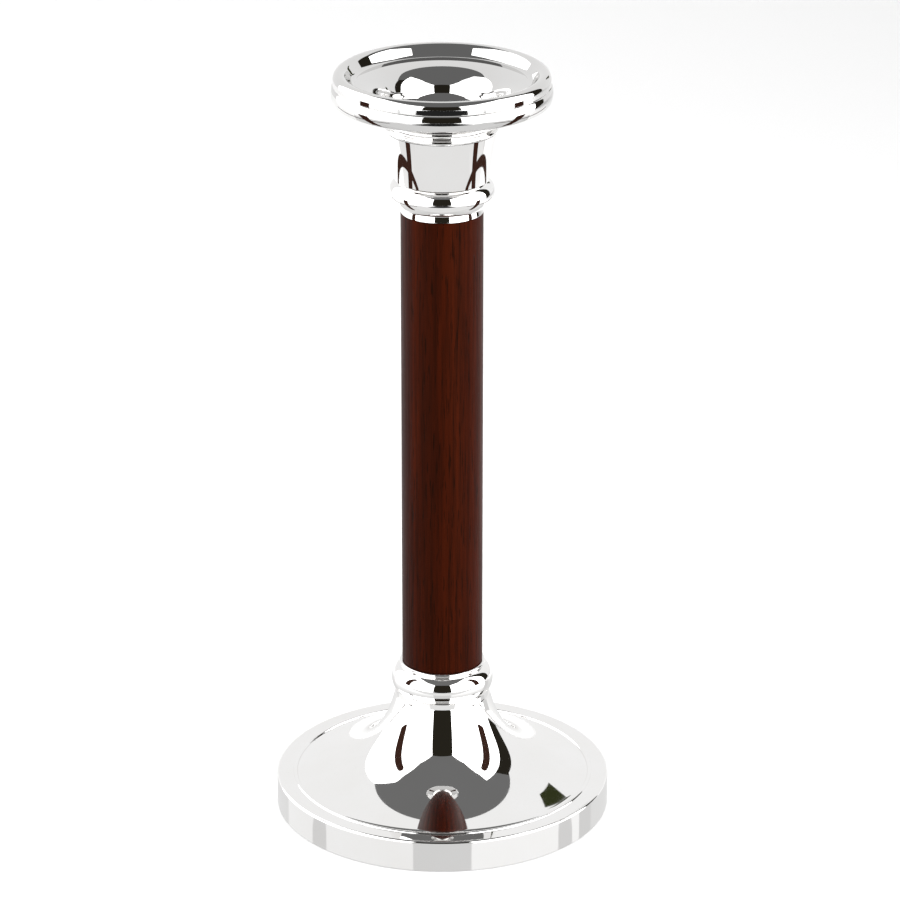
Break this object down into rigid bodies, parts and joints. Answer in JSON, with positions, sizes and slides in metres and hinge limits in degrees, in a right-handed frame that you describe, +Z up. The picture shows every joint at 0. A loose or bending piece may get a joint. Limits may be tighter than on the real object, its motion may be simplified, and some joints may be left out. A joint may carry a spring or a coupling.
{
  "type": "candlestick",
  "caption": "Column candlestick: turned mahogany shaft between silver-plated fittings, flared weighted foot, lift-off drip pan with a candle socket.",
  "frame": {"origin": "centre of the underside, on the surface it stands on", "axes": "+Z up along the candlestick's axis; the shape is round, so X and Y are free"},
  "size_m": [0.1, 0.1, 0.2297],
  "materials": {
    "silver_plate": "mirror-polished silver plate on brass",
    "mahogany": "dark red mahogany, satin lacquer",
    "felt": "green baize",
    "steel": "zinc-plated steel",
    "iron": "rough cast iron",
    "brass_bush": "turned brass"
  },
  "bodies": {
    "stand": {"felt_pad": "felt", "base_plate": "steel", "base_weight": "iron", "base_shell": "silver_plate", "base_spacer": "steel", "bottom_nut": "steel", "bottom_washer": "steel", "tie_rod": "steel", "lower_knuckle": "silver_plate", "lower_bush": "brass_bush", "wood_column": "mahogany", "upper_bush": "brass_bush", "upper_collar": "silver_plate", "upper_bead": "silver_plate", "cup_shell": "silver_plate", "cup_ring": "silver_plate", "top_washer": "steel", "top_nut": "steel"},
    "nozzle": {"candle_socket": "silver_plate", "drip_pan": "silver_plate"}
  },
  "joints": [
    {"name": "nozzle_lift", "type": "slide", "parent": "stand", "child": "nozzle", "axis": [0, 0, 1], "range_m": [0, 0.03]}
  ]
}
